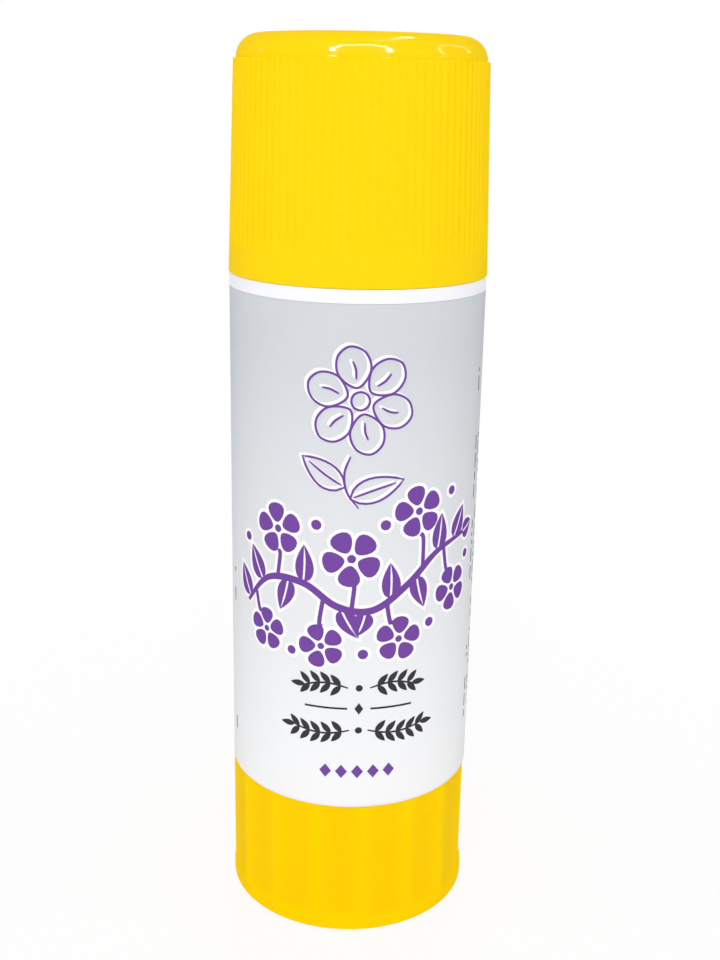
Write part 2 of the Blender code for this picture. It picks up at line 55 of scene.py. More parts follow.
# Sizes that more than one piece needs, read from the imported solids
barrelLow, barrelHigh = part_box("barrel")
labelLow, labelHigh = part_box("label")
capLow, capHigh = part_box("cap")
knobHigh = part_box("knob")[1]
glueLow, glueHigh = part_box("glue")
capRadius = capHigh.x
knobRadius = knobHigh.x
glueRadius = glueHigh.x
mouthZ = barrelHigh.z
bodyRadius = barrelHigh.x
boreRadius = glueRadius + 0.3 * mm  # the glue's clearance in the bore
capDraft = math.tan(math.radians(1.8))
seatZ = capLow.z - 0.1 * mm  # where the cap's skirt meets the barrel's shoulder
bodyZ = knobHigh.z + 0.3 * mm  # the lower face of the barrel's body, over the knob
weldReach = 1e-6  # points closer than this are one


# Meshes from profiles: each row is a list of (angle, radius, height), and neighbouring rows are joined by faces


def level(angles, radius, z):
    # One row at one height. The radius is a number or follows the angle
    return [(a, radius(a) if callable(radius) else radius, z) for a in angles]


def notched(angles, half, outer, inner, z):
    # A row at the outer radius that steps to the inner one between the angles -half and half, both in the angles
    row = []
    for a in angles:
        if abs(abs(a) - half) < 1e-9:
            step = [(a, outer, z), (a, inner, z)]
            row += step if a < 0 else step[::-1]
        else:
            row.append((a, inner if abs(a) < half else outer, z))
    return row


def levels(angles, points):
    # A row for each (radius, height) point of a profile
    return [level(angles, radius, z) for radius, z in points]


def spread(start, end, steps):
    return [start + (end - start) * i / steps for i in range(steps + 1)]


def roundCorner(centreR, centreZ, radius, start, end, steps):
    # (radius, height) points of a profile's round corner, angles in degrees
    turns = [math.radians(a) for a in spread(start, end, steps)]
    return [(centreR + radius * math.cos(t), centreZ + radius * math.sin(t)) for t in turns]


def zipRows(bm, lower, upper):
    # Faces between two rows, each a list of (angle, vertex), which may have unlike numbers of points
    if len(lower) == len(upper) > 1:
        for k in range(len(lower) - 1):
            bm.faces.new((lower[k][1], lower[k + 1][1], upper[k + 1][1], upper[k][1]))
        return
    i, j = 0, 0
    while i < len(lower) - 1 or j < len(upper) - 1:
        nextLower = lower[i + 1][0] if i < len(lower) - 1 else math.inf
        nextUpper = upper[j + 1][0] if j < len(upper) - 1 else math.inf
        if nextLower <= nextUpper:
            bm.faces.new((lower[i][1], lower[i + 1][1], upper[j][1]))
            i += 1
        else:
            bm.faces.new((lower[i][1], upper[j + 1][1], upper[j][1]))
            j += 1


def sectorObject(name, rows):
    # One sector of a turned piece. Rows run up the outside, over the top and down the inside
    bm = bmesh.new()
    grid = []
    for row in rows:
        if max(r for _, r, _ in row) == 0:
            grid.append([(0.0, bm.verts.new((0, 0, row[0][2])))])
            continue
        grid.append([(a, bm.verts.new((r * math.cos(a), r * math.sin(a), z))) for a, r, z in row])
    for lower, upper in zip(grid, grid[1:] + grid[:1]):
        zipRows(bm, lower, upper)
    bmesh.ops.remove_doubles(bm, verts=bm.verts, dist=1e-7)
    bmesh.ops.dissolve_degenerate(bm, edges=bm.edges, dist=1e-7)
    return meshObject(name, bm)


def newObject(name, data):
    made = bpy.data.objects.new(name, data)
    bpy.context.scene.collection.objects.link(made)
    return made


def meshObject(name, bm):
    mesh = bpy.data.meshes.new(name)
    bm.to_mesh(mesh)
    bm.free()
    return newObject(name, mesh)


def smooth(piece, sharpAngle):
    piece.data.shade_smooth()
    piece.data.set_sharp_from_angle(angle=math.radians(sharpAngle))


# Geometry Nodes trees


def newTree(name, inputs):
    tree = bpy.data.node_groups.new(name, "GeometryNodeTree")
    tree.interface.new_socket("Shape", in_out="INPUT", socket_type="NodeSocketGeometry")
    for label, kind in inputs:
        tree.interface.new_socket(label, in_out="INPUT", socket_type=kind)
    tree.interface.new_socket("Piece", in_out="OUTPUT", socket_type="NodeSocketGeometry")
    return tree, tree.nodes.new("NodeGroupInput"), tree.nodes.new("NodeGroupOutput")


def setInputs(tree, node, inputs):
    # Inputs by name or number. A socket is linked, and any other value is set
    for name, value in inputs.items():
        if isinstance(value, bpy.types.NodeSocket):
            tree.links.new(value, node.inputs[name])
        else:
            node.inputs[name].default_value = value
    return node


def addNode(tree, kind, inputs=None, **settings):
    node = tree.nodes.new(kind)
    for name, value in settings.items():
        setattr(node, name, value)
    return setInputs(tree, node, inputs or {})


def mathNode(tree, operation, *values):
    # Each value is a socket or a plain number
    return addNode(tree, "ShaderNodeMath", dict(enumerate(values)), operation=operation).outputs[0]


def finishTree(tree, given, result, shape):
    # The material is set last
    finish = addNode(tree, "GeometryNodeSetMaterial", {"Geometry": shape, "Material": given.outputs["Finish"]})
    tree.links.new(finish.outputs[0], result.inputs[0])
    return tree


def repeatTree():
    # Sectors set round the Z axis and welded into one piece
    tree, given, result = newTree(
        "repeatRoundAxis", [("Count", "NodeSocketInt"), ("Weld", "NodeSocketFloat"), ("Finish", "NodeSocketMaterial")]
    )
    count = given.outputs["Count"]
    step = mathNode(tree, "DIVIDE", math.tau, count)
    index = addNode(tree, "GeometryNodeInputIndex").outputs[0]
    turn = addNode(tree, "ShaderNodeCombineXYZ", {"Z": mathNode(tree, "MULTIPLY", index, step)})
    rotation = addNode(tree, "FunctionNodeEulerToRotation", {0: turn.outputs[0]})
    points = addNode(tree, "GeometryNodePoints", {"Count": count})
    place = addNode(
        tree,
        "GeometryNodeInstanceOnPoints",
        {"Points": points.outputs[0], "Instance": given.outputs["Shape"], "Rotation": rotation.outputs[0]},
    )
    realize = addNode(tree, "GeometryNodeRealizeInstances", {0: place.outputs[0]})
    weld = addNode(
        tree, "GeometryNodeMergeByDistance", {"Geometry": realize.outputs[0], "Distance": given.outputs["Weld"]}
    )
    return finishTree(tree, given, result, weld.outputs[0])


def wrapTree():
    # Flat print, drawn with X along the girth and Z up, bent round the barrel. -Y is the ink's thickness
    tree, given, result = newTree("wrapRoundBarrel", [("Radius", "NodeSocketFloat"), ("Finish", "NodeSocketMaterial")])
    radius = given.outputs["Radius"]
    position = addNode(tree, "GeometryNodeInputPosition").outputs[0]
    split = addNode(tree, "ShaderNodeSeparateXYZ", {0: position})
    angle = mathNode(tree, "DIVIDE", split.outputs["X"], radius)
    reach = mathNode(tree, "SUBTRACT", radius, split.outputs["Y"])
    across = mathNode(tree, "MULTIPLY", reach, mathNode(tree, "SINE", angle))
    back = mathNode(tree, "MULTIPLY", reach, mathNode(tree, "COSINE", angle))
    front = mathNode(tree, "MULTIPLY", back, -1.0)
    join = addNode(tree, "ShaderNodeCombineXYZ", {"X": across, "Y": front, "Z": split.outputs["Z"]})
    move = addNode(tree, "GeometryNodeSetPosition", {"Geometry": given.outputs["Shape"], "Position": join.outputs[0]})
    realize = addNode(tree, "GeometryNodeRealizeInstances", {0: move.outputs[0]})
    return finishTree(tree, given, result, realize.outputs[0])


def applyTree(piece, tree, values):
    # Runs the tree on the piece with these named inputs, and leaves a plain mesh
    modifier = piece.modifiers.new(tree.name, "NODES")
    modifier.node_group = tree
    for socket in tree.interface.items_tree:
        if socket.in_out == "INPUT" and socket.name in values:
            modifier[socket.identifier] = values[socket.name]
    seen = piece.evaluated_get(bpy.context.evaluated_depsgraph_get())
    made = bpy.data.meshes.new_from_object(seen)
    piece.modifiers.remove(modifier)
    old = piece.data
    piece.data = made
    bpy.data.meshes.remove(old)
    made.name = piece.name


repeatRoundAxis = repeatTree()
wrapRoundBarrel = wrapTree()


def turnedPiece(name, rows, count, finish):
    # One sector of these rows, repeated round the axis
    piece = sectorObject(name, rows)
    applyTree(piece, repeatRoundAxis, {"Count": count, "Weld": weldReach, "Finish": finish})
    return piece


# Shader groups that more than one finish uses


def shaderGroup(name, inputs, outputs):
    # Inputs by name with their first values, and outputs by name. Colour in a name makes the socket a colour
    group = bpy.data.node_groups.new(name, "ShaderNodeTree")
    for way, labels in (("INPUT", inputs), ("OUTPUT", outputs)):
        for label in labels:
            kind = "NodeSocketColor" if "Colour" in label else "NodeSocketFloat"
            socket = group.interface.new_socket(label, in_out=way, socket_type=kind)
            if way == "INPUT":
                socket.default_value = inputs[label]
    return group, group.nodes.new("NodeGroupInput").outputs, group.nodes.new("NodeGroupOutput")


def noise(tree, vector, scale, detail, roughness=0.5):
    values = {"Vector": vector, "Scale": scale, "Detail": detail, "Roughness": roughness}
    return addNode(tree, "ShaderNodeTexNoise", values).outputs[0]


def mixColour(tree, share, first, second):
    node = addNode(tree, "ShaderNodeMix", data_type="RGBA")
    tree.links.new(share, node.inputs["Factor"])
    for name, value in (("A", first), ("B", second)):
        socket = next(s for s in node.inputs if s.name == name and s.type == "RGBA")
        if isinstance(value, (list, tuple)):
            socket.default_value = value
        else:
            tree.links.new(value, socket)
    return next(s for s in node.outputs if s.type == "RGBA")


def objectPlace(tree):
    return addNode(tree, "ShaderNodeTexCoord").outputs["Object"]


def mouldedSkinGroup():
    # Flow marks and a fine grain of moulded plastic
    inputs = {
        "Colour": (1, 1, 1, 1),
        "Deep Colour": (1, 1, 1, 1),
        "Flow Scale": 60.0,
        "Flow Share": 0.3,
        "Roughness": 0.3,
        "Roughness Spread": 0.1,
        "Grain Scale": 2500.0,
    }
    group, given, result = shaderGroup("mouldedSkin", inputs, ["Colour", "Roughness", "Height"])
    place = objectPlace(group)
    # Squeezed along Z, for marks that run up the piece
    stretched = addNode(group, "ShaderNodeMapping", {"Vector": place, "Scale": (1.0, 1.0, 0.35)})
    flow = noise(group, stretched.outputs[0], given["Flow Scale"], 3.0)
    grain = noise(group, place, given["Grain Scale"], 2.0)
    share = mathNode(group, "MULTIPLY", flow, given["Flow Share"])
    swing = mathNode(group, "MULTIPLY", mathNode(group, "SUBTRACT", flow, 0.5), given["Roughness Spread"])
    results = {
        "Colour": mixColour(group, share, given["Colour"], given["Deep Colour"]),
        "Roughness": mathNode(group, "ADD", given["Roughness"], swing),
        "Height": mathNode(group, "ADD", grain, mathNode(group, "MULTIPLY", flow, 2.0)),
    }
    setInputs(group, result, results)
    return group


def grooveShadeGroup():
    # 1 in the grooves of a ribbed or fluted wall and 0 on its crests, from the distance to the axis; it masks the
    # painted shade that darkens the grooves
    inputs = {"Crest Radius": 0.022, "Draft": 0.0, "Foot Height": 0.0, "Depth": 0.001}
    group, given, result = shaderGroup("grooveShade", inputs, ["Shade"])
    split = addNode(group, "ShaderNodeSeparateXYZ", {0: objectPlace(group)})
    square = mathNode(group, "MULTIPLY", split.outputs["X"], split.outputs["X"])
    other = mathNode(group, "MULTIPLY", split.outputs["Y"], split.outputs["Y"])
    radius = mathNode(group, "SQRT", mathNode(group, "ADD", square, other))
    rise = mathNode(group, "SUBTRACT", split.outputs["Z"], given["Foot Height"])
    crest = mathNode(group, "SUBTRACT", given["Crest Radius"], mathNode(group, "MULTIPLY", rise, given["Draft"]))
    share = mathNode(group, "DIVIDE", mathNode(group, "SUBTRACT", crest, radius), given["Depth"])
    clipped = mathNode(group, "MINIMUM", mathNode(group, "MAXIMUM", share, 0.0), 1.0)
    setInputs(group, result, {"Shade": clipped})
    return group


def filmSkinGroup():
    # The faint speckle and unevenness of printed film
    inputs = {"Colour": (1, 1, 1, 1), "Speckle": 0.05, "Speckle Scale": 3000.0, "Roughness": 0.35}
    group, given, result = shaderGroup("filmSkin", inputs, ["Colour", "Roughness", "Height"])
    place = objectPlace(group)
    speck = noise(group, place, given["Speckle Scale"], 2.0, 0.7)
    cloud = noise(group, place, 90.0, 2.0)
    both = mathNode(group, "ADD", mathNode(group, "MULTIPLY", speck, 0.6), mathNode(group, "MULTIPLY", cloud, 0.4))
    share = mathNode(group, "MULTIPLY", both, given["Speckle"])
    swing = mathNode(group, "MULTIPLY", mathNode(group, "SUBTRACT", cloud, 0.5), 0.12)
    results = {
        "Colour": mixColour(group, share, given["Colour"], (0.0, 0.0, 0.0, 1.0)),
        "Roughness": mathNode(group, "ADD", given["Roughness"], swing),
        "Height": both,
    }
    setInputs(group, result, results)
    return group


mouldedSkin = mouldedSkinGroup()
grooveShade = grooveShadeGroup()
filmSkin = filmSkinGroup()


# Finishes


def newMaterial(name, plain):
    # plain holds the values of the shader's own sockets that are the same all over
    material = bpy.data.materials.new(name)
    material.use_nodes = True
    shader = material.node_tree.nodes["Principled BSDF"]
    setInputs(material.node_tree, shader, plain)
    return material, material.node_tree, shader


def finishShader(tree, shader, skin, colour, bump):
    grain = {"Strength": 1.0, "Distance": bump, "Height": skin.outputs["Height"]}
    normal = addNode(tree, "ShaderNodeBump", grain).outputs[0]
    setInputs(tree, shader, {"Base Color": colour, "Roughness": skin.outputs["Roughness"], "Normal": normal})


def mouldedPlastic(name, look):
    material, tree, shader = newMaterial(name, look["plain"])
    skin = addNode(tree, "ShaderNodeGroup", look["skin"], node_tree=mouldedSkin)
    colour = skin.outputs["Colour"]
    # Painted shade: the grooves are darkened towards a deeper colour, for the shade that falls in them
    if "groove" in look:
        groove = addNode(tree, "ShaderNodeGroup", look["groove"], node_tree=grooveShade)
        share = mathNode(tree, "MULTIPLY", groove.outputs["Shade"], look["grooveShare"])
        colour = mixColour(tree, share, colour, look["grooveColour"])
    finishShader(tree, shader, skin, colour, look["bump"])
    return material


def printedFilm(name, look):
    # Film or ink. Where the look has two colours, the film fades from one to the other up the barrel
    material, tree, shader = newMaterial(name, look["plain"])
    skin = addNode(tree, "ShaderNodeGroup", look["skin"], node_tree=filmSkin)
    if "fade" in look:
        fade = look["fade"]
        split = addNode(tree, "ShaderNodeSeparateXYZ", {0: objectPlace(tree)})
        reach = {"From Min": fade["low"], "From Max": fade["high"], "Value": split.outputs["Z"]}
        ramp = addNode(tree, "ShaderNodeMapRange", reach)
        share = mathNode(tree, "POWER", ramp.outputs["Result"], fade["bend"])
        setInputs(tree, skin, {"Colour": mixColour(tree, share, fade["lowColour"], fade["highColour"])})
    finishShader(tree, shader, skin, skin.outputs["Colour"], look["bump"])
    return material


def mouldedLook(plain, colour, deepColour, flow, roughness, grain, bump):
    # flow is the flow marks' scale and share, and roughness is its middle value and its spread
    skin = {
        "Colour": fromSrgb(*colour),
        "Deep Colour": fromSrgb(*deepColour),
        "Flow Scale": flow[0],
        "Flow Share": flow[1],
        "Roughness": roughness[0],
        "Roughness Spread": roughness[1],
        "Grain Scale": grain,
    }
    return {"plain": plain, "skin": skin, "bump": bump}


yellowDepth = {"Subsurface Weight": 0.3, "Subsurface Radius": (1.0, 0.7, 0.1), "Subsurface Scale": 0.8 * mm}
capLook = mouldedLook(
    plain={"Specular IOR Level": 0.0, "Coat Weight": 0.05, "Coat IOR": 2.6, "Coat Roughness": 0.08, **yellowDepth},
    colour=(255, 211, 0),
    deepColour=(253, 205, 0),
    flow=(45.0, 0.3),
    roughness=(0.17, 0.08),
    grain=1800.0,
    bump=0.004 * mm,
)
# Painted shade in the cap's grooves between the ribs
capLook["groove"] = {"Crest Radius": capRadius, "Draft": capDraft, "Foot Height": capLow.z, "Depth": 0.25 * mm}
capLook["grooveShare"] = 0.04
capLook["grooveColour"] = fromSrgb(246, 196, 0)
knobLook = mouldedLook(
    plain={"Specular IOR Level": 0.0, "Coat Weight": 0.06, "Coat Roughness": 0.25, **yellowDepth},
    colour=(255, 208, 0),
    deepColour=(253, 202, 0),
    flow=(50.0, 0.35),
    roughness=(0.32, 0.1),
    grain=2200.0,
    bump=0.004 * mm,
)
# Painted shade in the knob's flutes, darker than on the ridges
knobLook["groove"] = {"Crest Radius": knobRadius, "Draft": 0.0, "Foot Height": 0.0, "Depth": 0.8 * mm}
knobLook["grooveShare"] = 0.35
knobLook["grooveColour"] = fromSrgb(245, 188, 0)
barrelLook = mouldedLook(
    plain={"Specular IOR Level": 0.1},
    colour=(241, 241, 246),
    deepColour=(236, 236, 242),
    flow=(40.0, 0.4),
    roughness=(0.3, 0.08),
    grain=2000.0,
    bump=0.003 * mm,
)
innerLook = mouldedLook(
    plain={"Specular IOR Level": 0.35},
    colour=(238, 238, 234),
    deepColour=(226, 226, 220),
    flow=(80.0, 0.5),
    roughness=(0.45, 0.15),
    grain=1500.0,
    bump=0.006 * mm,
)
glueLook = mouldedLook(
    plain={
        "Specular IOR Level": 0.4,
        "Subsurface Weight": 0.35,
        "Subsurface Radius": (1.0, 0.9, 0.8),
        "Subsurface Scale": 1.5 * mm,
    },
    colour=(246, 245, 240),
    deepColour=(236, 233, 222),
    flow=(120.0, 0.7),
    roughness=(0.5, 0.3),
    grain=700.0,
    bump=0.03 * mm,
)
labelLook = {
    "plain": {"Specular IOR Level": 0.0},
    "skin": {"Speckle": 0.05, "Speckle Scale": 2600.0, "Roughness": 0.4},
    "fade": {
        "low": labelLow.z + 4 * mm,
        "high": labelHigh.z - 8 * mm,
        "bend": 1.1,  # over 1 keeps the grey near the top
        "lowColour": fromSrgb(241, 242, 244),
        "highColour": fromSrgb(207, 210, 215),
    },
    "bump": 0.002 * mm,
}


def inkLook(*colour):
    skin = {"Colour": fromSrgb(*colour), "Speckle": 0.12, "Speckle Scale": 3500.0, "Roughness": 0.42}
    return {"plain": {"Specular IOR Level": 0.0}, "skin": skin, "bump": 0.002 * mm}


capYellow = mouldedPlastic("capYellow", capLook)
knobYellow = mouldedPlastic("knobYellow", knobLook)
barrelWhite = mouldedPlastic("barrelWhite", barrelLook)
innerWhite = mouldedPlastic("innerWhite", innerLook)
glueWhite = mouldedPlastic("glueWhite", glueLook)
labelGrey = printedFilm("labelGrey", labelLook)
inkPurple = printedFilm("inkPurple", inkLook(120, 76, 162))
inkWhite = printedFilm("inkWhite", inkLook(253, 252, 254))
inkGrey = printedFilm("inkGrey", inkLook(62, 62, 66))
print("finishes made")


# Cap

capSizes = {
    "ribCount": 90,
    "ribDepth": 0.22 * mm,
    "ribSteps": 8,
    "ribRound": 0.85,  # under 1 widens the crests
    "skirtBand": 3.0 * mm,
    "runOut": 3.0 * mm,
    "runOutShares": (0.0, 0.2, 0.55, 0.85, 1.0),  # of the ribs' depth, up from the skirt's band
    "lipRound": 0.12 * mm,
    "domeRound": 3.8 * mm,
    "domeSteps": 14,
    "crownRise": 0.4 * mm,
    "crownSteps": 5,
    "topStep": 0.12 * mm,
    "domeInset": 0.45 * mm,
    "domeFoot": 0.02 * mm,  # how far the ledge's edge stands out from the dome
    "bore": 20.85 * mm,  # at the skirt
    "ceiling": 1.6 * mm,
    "innerRound": 2.5 * mm,
    "beadRise": 2.2 * mm,
    "beadHeight": 1.2 * mm,
    "beadDepth": 0.15 * mm,
    "entryHeight": 0.75 * mm,
    "entryFlare": 0.4 * mm,
}


def makeCap(size):
    half = math.pi / size["ribCount"]
    fine = spread(-half, half, size["ribSteps"])
    plain = spread(-half, half, 2)
    coarse = [-half, half]
    low, high = capLow.z, capHigh.z
    ribLow = low + size["skirtBand"]
    ribHigh = high - size["crownRise"] - size["domeRound"]

    def outside(z):
        return capRadius - capDraft * (z - low)

    def inside(z):
        return size["bore"] - capDraft * (z - low)

    def ribbed(z, share):
        def radius(a):
            wave = 0.5 - 0.5 * math.cos(math.pi * a / half)
            return outside(z) - size["ribDepth"] * share * wave ** (1 / size["ribRound"])

        return level(fine, radius, z)

    rows = [level(coarse, outside(low) - size["lipRound"], seatZ)]
    lip = roundCorner(outside(low) - size["lipRound"], seatZ + size["lipRound"], size["lipRound"], -60, 0, 2)
    rows += levels(plain, lip)
    rows += [level(plain, outside(z), z) for z in (low + 2 * mm, ribLow)]
    for share in size["runOutShares"]:
        rows.append(ribbed(ribLow + size["runOut"] * (0.05 + share), share))
    rows += [ribbed(z, 1.0) for z in spread(ribLow + size["runOut"] + 1 * mm, ribHigh - 3 * size["topStep"], 6)]
    rows.append(ribbed(ribHigh - size["topStep"], 1.0))
    root = outside(ribHigh) - size["domeInset"]
    rows.append(level(plain, root + size["domeFoot"], ribHigh))
    dome = roundCorner(root - size["domeRound"], ribHigh, size["domeRound"], 1.5, 90, size["domeSteps"])
    rows += levels(plain, dome)
    edge = root - size["domeRound"]
    for k in range(1, size["crownSteps"]):
        share = 1 - k / size["crownSteps"]
        rows.append(level(plain if share > 0.5 else coarse, edge * share, high - size["crownRise"] * share**2))
    rows.append(level(coarse, 0, high))

    ceiling = high - size["ceiling"]
    turn = ceiling - size["innerRound"]
    bead, beadHalf = low + size["beadRise"], size["beadHeight"] / 2
    rows.append(level(coarse, 0, ceiling))
    rows.append(level(coarse, 0.5 * inside(turn), ceiling))
    inner = roundCorner(inside(turn) - size["innerRound"], turn, size["innerRound"], 90, 0, 6)
    inner += [
        (inside(bead + beadHalf), bead + beadHalf),
        (inside(bead) - size["beadDepth"], bead),
        (inside(bead - beadHalf), bead - beadHalf),
        (inside(low + size["entryHeight"]), low + size["entryHeight"]),
        (inside(low) + size["entryFlare"], seatZ),
    ]
    rows += levels(coarse, inner)

    cap = turnedPiece("capShell", rows, size["ribCount"], capYellow)
    smooth(cap, 42)
    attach(cap, "cap")
    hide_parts("cap")


makeCap(capSizes)
print("cap made")


# Knob

knobSizes = {
    "fluteCount": 16,
    "fluteSteps": 20,
    "fluteDepth": 0.8 * mm,
    "firstRidge": math.radians(-82.4),
    "ridgeRound": 0.12 * mm,
    "ridgeShare": 0.09,  # of the pitch that is rounded on each side of a ridge
    "fluteStart": 2.0 * mm,
    "runOut": 1.9 * mm,
    "footRound": 0.3 * mm,
    "footWidth": 5.0 * mm,
    "footRecess": 0.8 * mm,
    "topGap": 0.06 * mm,  # to the barrel's lower face
    "topRound": 0.2 * mm,
    "floor": 1.8 * mm,
    "bore": 20.4 * mm,
    "snapDrop": 10.5 * mm,
    "snapDepth": 0.55 * mm,
    "snapHeight": 1.6 * mm,
    "boss": 7.0 * mm,
    "bossTop": 24.7 * mm,
    "socket": 4.75 * mm,
    "webCount": 6,
    "webWidth": 1.2 * mm,
    "webTop": 9.0 * mm,
}


def makeKnob(size):
    pitch = math.tau / size["fluteCount"]
    # A sector runs from one flute's middle to the next, with the ridge in its own middle
    fine = [size["firstRidge"] + a for a in spread(-pitch / 2, pitch / 2, size["fluteSteps"])]
    coarse = fine[::5]
    halfChord = knobRadius * math.sin(pitch / 2)
    sag = knobRadius * math.cos(pitch / 2) - (knobRadius - size["fluteDepth"])
    arcRadius = (halfChord**2 + sag**2) / (2 * sag)
    centre = knobRadius - size["fluteDepth"] + arcRadius

    def fluted(share, inset=0.0):
        def radius(a):
            off = pitch / 2 - abs(a - size["firstRidge"])
            hollow = centre * math.cos(off) - math.sqrt(arcRadius**2 - (centre * math.sin(off)) ** 2)
            # Ridges are slightly rounded off
            blunt = size["ridgeRound"] * max(0.0, 1 - abs(a - size["firstRidge"]) / (size["ridgeShare"] * pitch)) ** 2
            return knobRadius + (hollow - knobRadius - blunt) * share - inset

        return radius

    top = bodyZ - size["topGap"]
    foot = size["footRound"]
    innerFoot = knobRadius - foot - size["footWidth"]
    rows = levels(fine, roundCorner(knobRadius - foot, foot, foot, -90, 0, 5))
    rows.append(level(fine, knobRadius, size["fluteStart"]))
    for t in (0.12, 0.25, 0.4, 0.55, 0.7, 0.85, 1.0):
        share = math.sin(t * math.pi / 2) ** 1.2
        rows.append(level(fine, fluted(share), size["fluteStart"] + size["runOut"] * t))
    rows += [level(fine, fluted(1.0), z) for z in spread(6 * mm, top - size["topRound"], 4)]
    rows.append(level(fine, fluted(1.0, 0.3 * size["topRound"]), top - 0.3 * size["topRound"]))
    rows.append(level(fine, fluted(1.0, size["topRound"]), top))
    snap = bodyZ - size["snapDrop"]
    floorZ = size["footRecess"] + size["floor"]
    bore, bead, rise = size["bore"], size["bore"] - size["snapDepth"], size["snapHeight"]
    inner = [
        (bore + 0.2 * mm, top),
        (bore, top - 0.5 * mm),
        (bore, snap + rise / 2),
        (bead, snap + rise / 4),
        (bead, snap - rise / 4),
        (bore, snap - rise / 2),
        (bore, floorZ + 0.6 * mm),
        (bore - 0.6 * mm, floorZ),
        (size["boss"], floorZ),
        (size["boss"], size["bossTop"]),
        (size["socket"], size["bossTop"]),
        (size["socket"], floorZ),
        (0, floorZ),
        (0, size["footRecess"]),
        (innerFoot - size["footRecess"], size["footRecess"]),
        (innerFoot, 0),
    ]
    rows += levels(coarse, inner)

    knob = turnedPiece("knobShell", rows, size["fluteCount"], knobYellow)
    web = bmesh.new()
    reach = bore - size["boss"]
    place = Matrix.Translation((size["boss"] + reach / 2, 0, (size["webTop"] + floorZ) / 2))
    shape = Matrix.Diagonal((reach + 0.4 * mm, size["webWidth"], size["webTop"] - floorZ + 0.4 * mm, 1))
    bmesh.ops.create_cube(web, size=1.0, matrix=place @ shape)
    webs = meshObject("knobWebs", web)
    applyTree(webs, repeatRoundAxis, {"Count": size["webCount"], "Weld": 0.0, "Finish": knobYellow})
    both = bmesh.new()
    for piece in (knob, webs):
        both.from_mesh(piece.data)
    bpy.data.objects.remove(webs)
    both.to_mesh(knob.data)
    both.free()
    smooth(knob, 30)
    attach(knob, "knob")
    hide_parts("knob")


makeKnob(knobSizes)
print("knob made")


# Barrel

barrelSizes = {
    "keyCount": 4,
    "keyWidth": 1.6 * mm,
    "keyHeight": 0.8 * mm,
    "keyStop": 2.0 * mm,
    "steps": 46,  # to a quarter turn
    "edgeRound": 0.25 * mm,
    "lowerBand": 0.3 * mm,
    "upperBand": 2.25 * mm,
    "recess": 0.5 * mm,
    "seatGap": 0.05 * mm,  # to the cap's skirt
    "neckRadius": 20.5 * mm,
    "beadRise": 4.8 * mm,
    "beadHeight": 1.2 * mm,
    "beadDepth": 0.15 * mm,
    "mouthRound": 0.5 * mm,
    "floorRise": 2.8 * mm,
    "floor": 2.0 * mm,
    "bearing": 5.3 * mm,
    "collar": 7.5 * mm,
    "collarLength": 3.0 * mm,
    "spigot": 20.0 * mm,
    "spigotWall": 1.6 * mm,
    "grooveDepth": 0.5 * mm,
    "grooveHalf": 1.15 * mm,
    "snapDrop": 10.5 * mm,
}


def makeBarrel(size):
    quarter = math.tau / size["keyCount"]
    keyHalf = size["keyWidth"] / 2 / boreRadius
    fine = sorted(spread(-quarter / 2, quarter / 2, size["steps"]) + [-keyHalf, keyHalf])
    shoulder = seatZ - size["seatGap"]
    floorZ = bodyZ + size["floorRise"]
    floorTop = floorZ + size["floor"]
    snap = bodyZ - size["snapDrop"]
    keyTop = mouthZ - size["keyStop"]
    edge = size["edgeRound"]

    def neck(z):
        return size["neckRadius"] - capDraft * (z - shoulder)

    def keyed(z, share):
        # The bore's row, whose key stands in by this share of its height
        return notched(fine, keyHalf, boreRadius, boreRadius - share * size["keyHeight"], z)

    spigot, inside = size["spigot"], size["spigot"] - size["spigotWall"]
    groove = spigot - size["grooveDepth"]
    outline = [
        (inside, barrelLow.z),
        (spigot - 0.5 * mm, barrelLow.z),
        (spigot, barrelLow.z + 0.75 * mm),
        (spigot, snap - size["grooveHalf"]),
        (groove, snap - size["grooveHalf"]),
        (groove, snap + size["grooveHalf"]),
        (spigot, snap + size["grooveHalf"]),
        (spigot, bodyZ),
    ]
    outline += roundCorner(bodyRadius - edge, bodyZ + edge, edge, -90, 0, 3)
    recess, lower, upper = bodyRadius - size["recess"], bodyZ + size["lowerBand"], shoulder - size["upperBand"]
    outline += [(bodyRadius, lower), (recess, lower), (recess, upper), (bodyRadius, upper)]
    outline += roundCorner(bodyRadius - edge, shoulder - edge, edge, 0, 90, 3)
    outline += [(neck(shoulder) + 0.3 * mm, shoulder), (neck(shoulder), shoulder + 0.3 * mm)]
    bead = shoulder + size["beadRise"]
    for t in spread(-1, 1, 6):
        z = bead + t * size["beadHeight"] / 2
        outline.append((neck(z) + size["beadDepth"] * math.cos(t * math.pi / 2), z))
    lip = size["mouthRound"]
    outline += roundCorner(neck(mouthZ) - lip, mouthZ - lip, lip, 0, 90, 4)
    outline += roundCorner(boreRadius + 0.2 * mm, mouthZ - 0.2 * mm, 0.2 * mm, 90, 180, 2)
    rows = levels(fine, outline)
    rows += [keyed(keyTop, 0.0), keyed(keyTop, 1.0), keyed(floorTop, 1.0), keyed(floorTop, 0.0)]
    inner = [
        (size["bearing"], floorTop),
        (size["bearing"], floorZ - size["collarLength"]),
        (size["collar"], floorZ - size["collarLength"]),
        (size["collar"], floorZ),
        (inside, floorZ),
    ]
    rows += levels(fine[::4] + [fine[-1]], inner)

    barrel = turnedPiece("barrelTube", rows, size["keyCount"], barrelWhite)
    smooth(barrel, 30)
    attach(barrel, "barrel")
    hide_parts("barrel")


makeBarrel(barrelSizes)
print("barrel made")


# Glue

